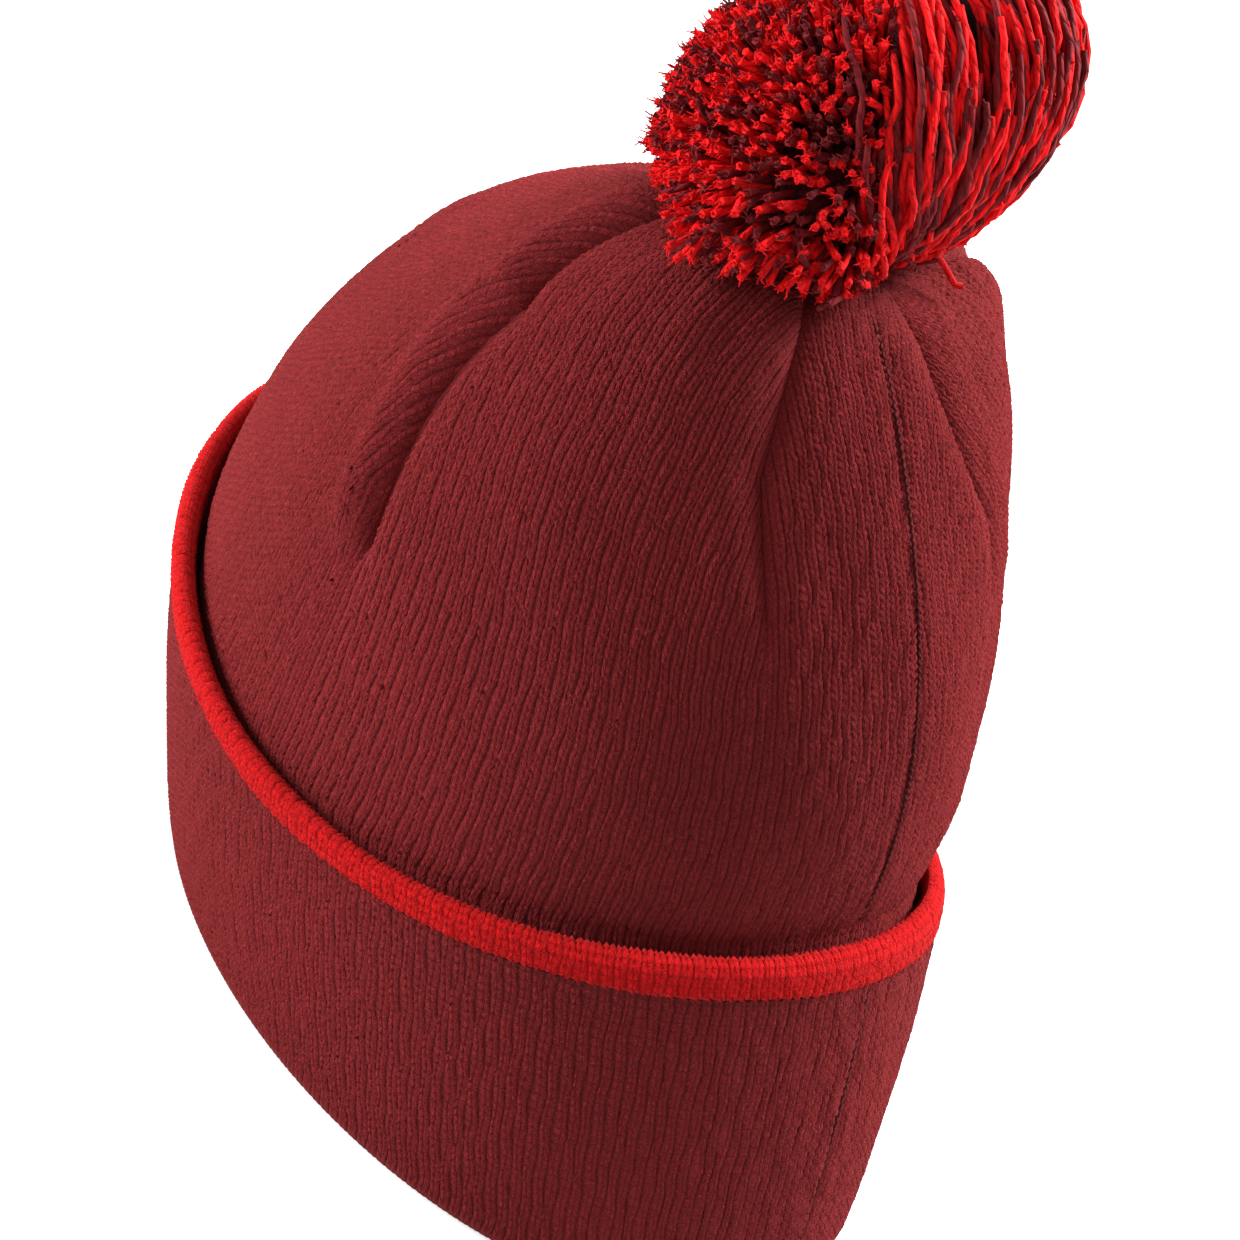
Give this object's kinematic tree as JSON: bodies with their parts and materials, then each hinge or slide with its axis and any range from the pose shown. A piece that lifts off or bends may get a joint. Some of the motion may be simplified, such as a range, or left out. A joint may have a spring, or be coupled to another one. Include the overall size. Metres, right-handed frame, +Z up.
{
  "type": "pom pom beanie",
  "caption": "Double-knit beanie with a turned-up cuff, contrast tipping, gathered and darted crown, and a two-colour yarn pom pom tied to the top.",
  "frame": {"origin": "centre of the hat's length and width, on the surface that the fold of the brim stands on", "axes": "+Z up through the crown, front towards -Y, the wearer's left towards +X"},
  "size_m": [0.1796, 0.246, 0.2698],
  "materials": {
    "maroon_knit": "soft matt double knit, fine V stitches",
    "red_knit": "soft matt rolled rib",
    "seam_thread": "matt spun thread",
    "tie_cord": "matt twisted cord",
    "red_yarn": "fluffy twisted acrylic yarn",
    "maroon_yarn": "fluffy twisted acrylic yarn",
    "red_embroidery": "satin stitch with a low sheen",
    "label_tape": "blank woven satin tape"
  },
  "bodies": {
    "hat": {"crown_knit": "maroon_knit", "crown_lining": "maroon_knit", "wall_lining": "maroon_knit", "cuff_knit": "maroon_knit", "edge_tipping": "red_knit", "linking_thread": "seam_thread", "back_seam_ridge": "seam_thread", "crown_seam_thread": "seam_thread", "cuff_seam_thread": "seam_thread", "dart_seam_back_left": "seam_thread", "dart_seam_side_left": "seam_thread", "dart_seam_front_left": "seam_thread", "dart_seam_front_right": "seam_thread", "dart_seam_side_right": "seam_thread", "dart_seam_back_right": "seam_thread", "gather_thread": "seam_thread", "anchor_cord": "tie_cord", "anchor_knot": "tie_cord", "front_motif": "red_embroidery", "label_stitching": "seam_thread"},
    "tie": {"tie_knot": "tie_cord"},
    "pompom": {"pompom_binding": "tie_cord", "pompom_red_yarn": "red_yarn", "pompom_maroon_yarn": "maroon_yarn"},
    "label": {"care_label": "label_tape"}
  },
  "joints": [
    {"name": "pompom_nod", "type": "hinge", "parent": "hat", "child": "tie", "pos_m": [0, 0.00903, 0.2128], "axis": [1, 0, 0], "range_deg": [-7, 5], "stiffness_Nm_per_rad": 0.15},
    {"name": "pompom_sway", "type": "hinge", "parent": "tie", "child": "pompom", "pos_m": [0, 0.00903, 0.2128], "axis": [0, 1, 0], "range_deg": [-5, 6], "stiffness_Nm_per_rad": 0.15},
    {"name": "label_swing", "type": "hinge", "parent": "hat", "child": "label", "pos_m": [0, 0.09028, 0.06855], "axis": [-1, 0, 0], "range_deg": [-8, 75]}
  ]
}
